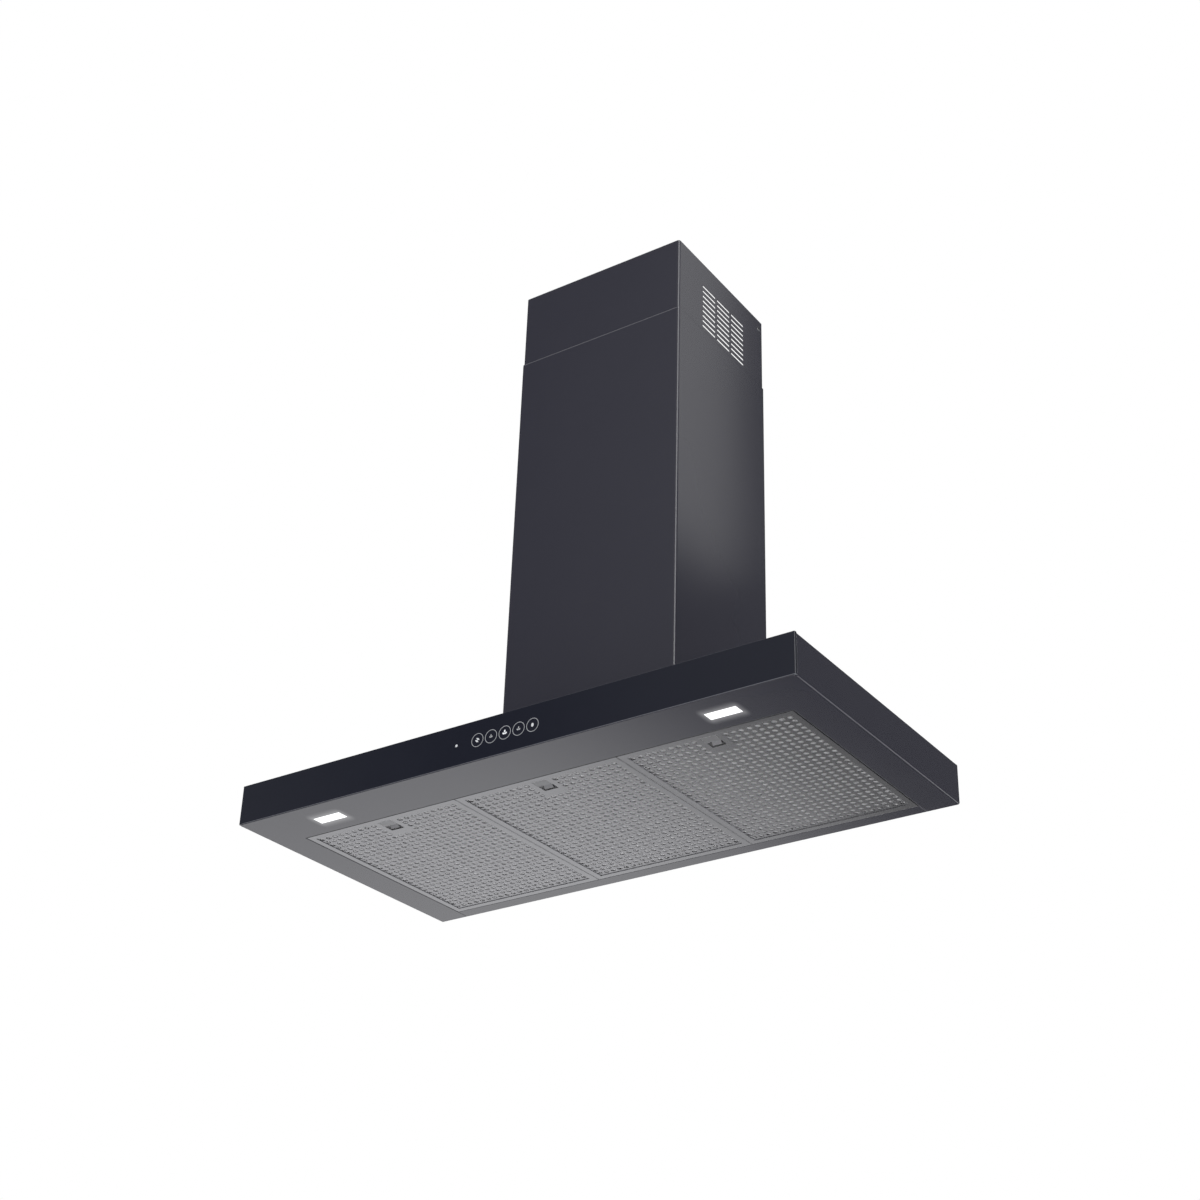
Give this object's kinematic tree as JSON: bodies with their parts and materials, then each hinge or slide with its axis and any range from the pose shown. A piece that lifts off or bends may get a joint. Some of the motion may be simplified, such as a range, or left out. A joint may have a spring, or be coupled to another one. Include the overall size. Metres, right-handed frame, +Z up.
{
  "type": "chimney range hood",
  "caption": "Wall-mounted chimney range hood: flat black canopy with glass front and touch controls, perforated grease filters, lamps, inner blower and telescopic chimney cover.",
  "frame": {"origin": "middle of the canopy's lower rear edge, on the wall plane", "axes": "+X to the right of someone facing the hood, +Y into the wall, +Z up"},
  "size_m": [0.9, 0.458, 0.935],
  "materials": {
    "black_sheet": "satin",
    "black_glass": "polished, printed black behind",
    "tape": "matt",
    "circuit_board": "satin",
    "dark_plastic": "matt",
    "pale_plastic": "matt",
    "lens": "frosted",
    "galvanised_sheet": "dull zinc",
    "filter_sheet": "satin, perforated",
    "filter_frame": "satin",
    "filter_mesh": "folded mesh",
    "latch": "satin",
    "spring_steel": "bright",
    "plated_steel": "zinc plated",
    "motor_casting": "as cast"
  },
  "bodies": {
    "canopy": {"canopy_shell": "black_sheet", "rear_strip": "black_sheet", "front_glass": "black_glass", "glass_tape": "tape", "touch_board": "circuit_board", "touch_board_tray": "dark_plastic", "left_lamp_lens": "lens", "right_lamp_lens": "lens", "left_lamp_housing": "pale_plastic", "right_lamp_housing": "pale_plastic", "left_lamp_board": "circuit_board", "right_lamp_board": "circuit_board", "control_box": "dark_plastic", "control_box_lid": "dark_plastic", "lamp_driver": "pale_plastic", "latch_keepers": "spring_steel", "lower_chimney_cover": "black_sheet", "cover_locators": "galvanised_sheet", "blower_box": "galvanised_sheet", "scroll_left_half": "pale_plastic", "scroll_right_half": "pale_plastic", "outlet_neck": "pale_plastic", "duct_collar": "dark_plastic", "blower_motor": "motor_casting", "motor_bracket": "motor_casting", "run_capacitor": "pale_plastic", "cable_gland": "dark_plastic", "canopy_screws": "plated_steel", "blower_screws": "plated_steel", "strip_rivets": "plated_steel"},
    "upper_chimney": {"upper_chimney_cover": "black_sheet", "chimney_brackets": "galvanised_sheet"},
    "impeller": {"impeller_disc": "pale_plastic", "impeller_left_blades": "pale_plastic", "impeller_right_blades": "pale_plastic", "motor_shaft": "plated_steel"},
    "front_flap": {"front_damper_flap": "plated_steel"},
    "rear_flap": {"rear_damper_flap": "plated_steel"},
    "left_filter": {"left_filter_frame": "filter_frame", "left_filter_face": "filter_sheet", "left_filter_mesh": "filter_mesh", "left_filter_back": "filter_sheet", "left_latch_pocket": "filter_sheet", "left_latch_spring": "spring_steel"},
    "left_latch": {"left_latch": "latch"},
    "middle_filter": {"middle_filter_frame": "filter_frame", "middle_filter_face": "filter_sheet", "middle_filter_mesh": "filter_mesh", "middle_filter_back": "filter_sheet", "middle_latch_pocket": "filter_sheet", "middle_latch_spring": "spring_steel"},
    "middle_latch": {"middle_latch": "latch"},
    "right_filter": {"right_filter_frame": "filter_frame", "right_filter_face": "filter_sheet", "right_filter_mesh": "filter_mesh", "right_filter_back": "filter_sheet", "right_latch_pocket": "filter_sheet", "right_latch_spring": "spring_steel"},
    "right_latch": {"right_latch": "latch"}
  },
  "joints": [
    {"name": "upper_chimney_slide", "type": "slide", "parent": "canopy", "child": "upper_chimney", "axis": [0, 0, 1], "range_m": [-0.13, 0.4]},
    {"name": "left_filter_hinge", "type": "hinge", "parent": "canopy", "child": "left_filter", "pos_m": [-0.26633, -0.0234, 0], "axis": [1, 0, 0], "range_deg": [0, 75], "deforming": ["latch_keepers"]},
    {"name": "middle_filter_hinge", "type": "hinge", "parent": "canopy", "child": "middle_filter", "pos_m": [0, -0.0234, 0], "axis": [1, 0, 0], "range_deg": [0, 75], "deforming": ["latch_keepers"]},
    {"name": "right_filter_hinge", "type": "hinge", "parent": "canopy", "child": "right_filter", "pos_m": [0.26633, -0.0234, 0], "axis": [1, 0, 0], "range_deg": [0, 75], "deforming": ["latch_keepers"]},
    {"name": "left_latch_slide", "type": "slide", "parent": "left_filter", "child": "left_latch", "axis": [0, 1, 0], "range_m": [0, 0.0045], "stiffness_N_per_m": 600, "springref_m": -0.004, "deforming": ["left_latch_spring"]},
    {"name": "middle_latch_slide", "type": "slide", "parent": "middle_filter", "child": "middle_latch", "axis": [0, 1, 0], "range_m": [0, 0.0045], "stiffness_N_per_m": 600, "springref_m": -0.004, "deforming": ["middle_latch_spring"]},
    {"name": "right_latch_slide", "type": "slide", "parent": "right_filter", "child": "right_latch", "axis": [0, 1, 0], "range_m": [0, 0.0045], "stiffness_N_per_m": 600, "springref_m": -0.004, "deforming": ["right_latch_spring"]},
    {"name": "front_flap_hinge", "type": "hinge", "parent": "canopy", "child": "front_flap", "pos_m": [0, -0.155, 0.3765], "axis": [-1, 0, 0], "range_deg": [0, 80]},
    {"name": "rear_flap_hinge", "type": "hinge", "parent": "canopy", "child": "rear_flap", "pos_m": [0, -0.145, 0.3765], "axis": [1, 0, 0], "range_deg": [0, 80]},
    {"name": "impeller_spin", "type": "hinge", "parent": "canopy", "child": "impeller", "pos_m": [0, -0.1012, 0.19], "axis": [1, 0, 0], "continuous": true}
  ]
}
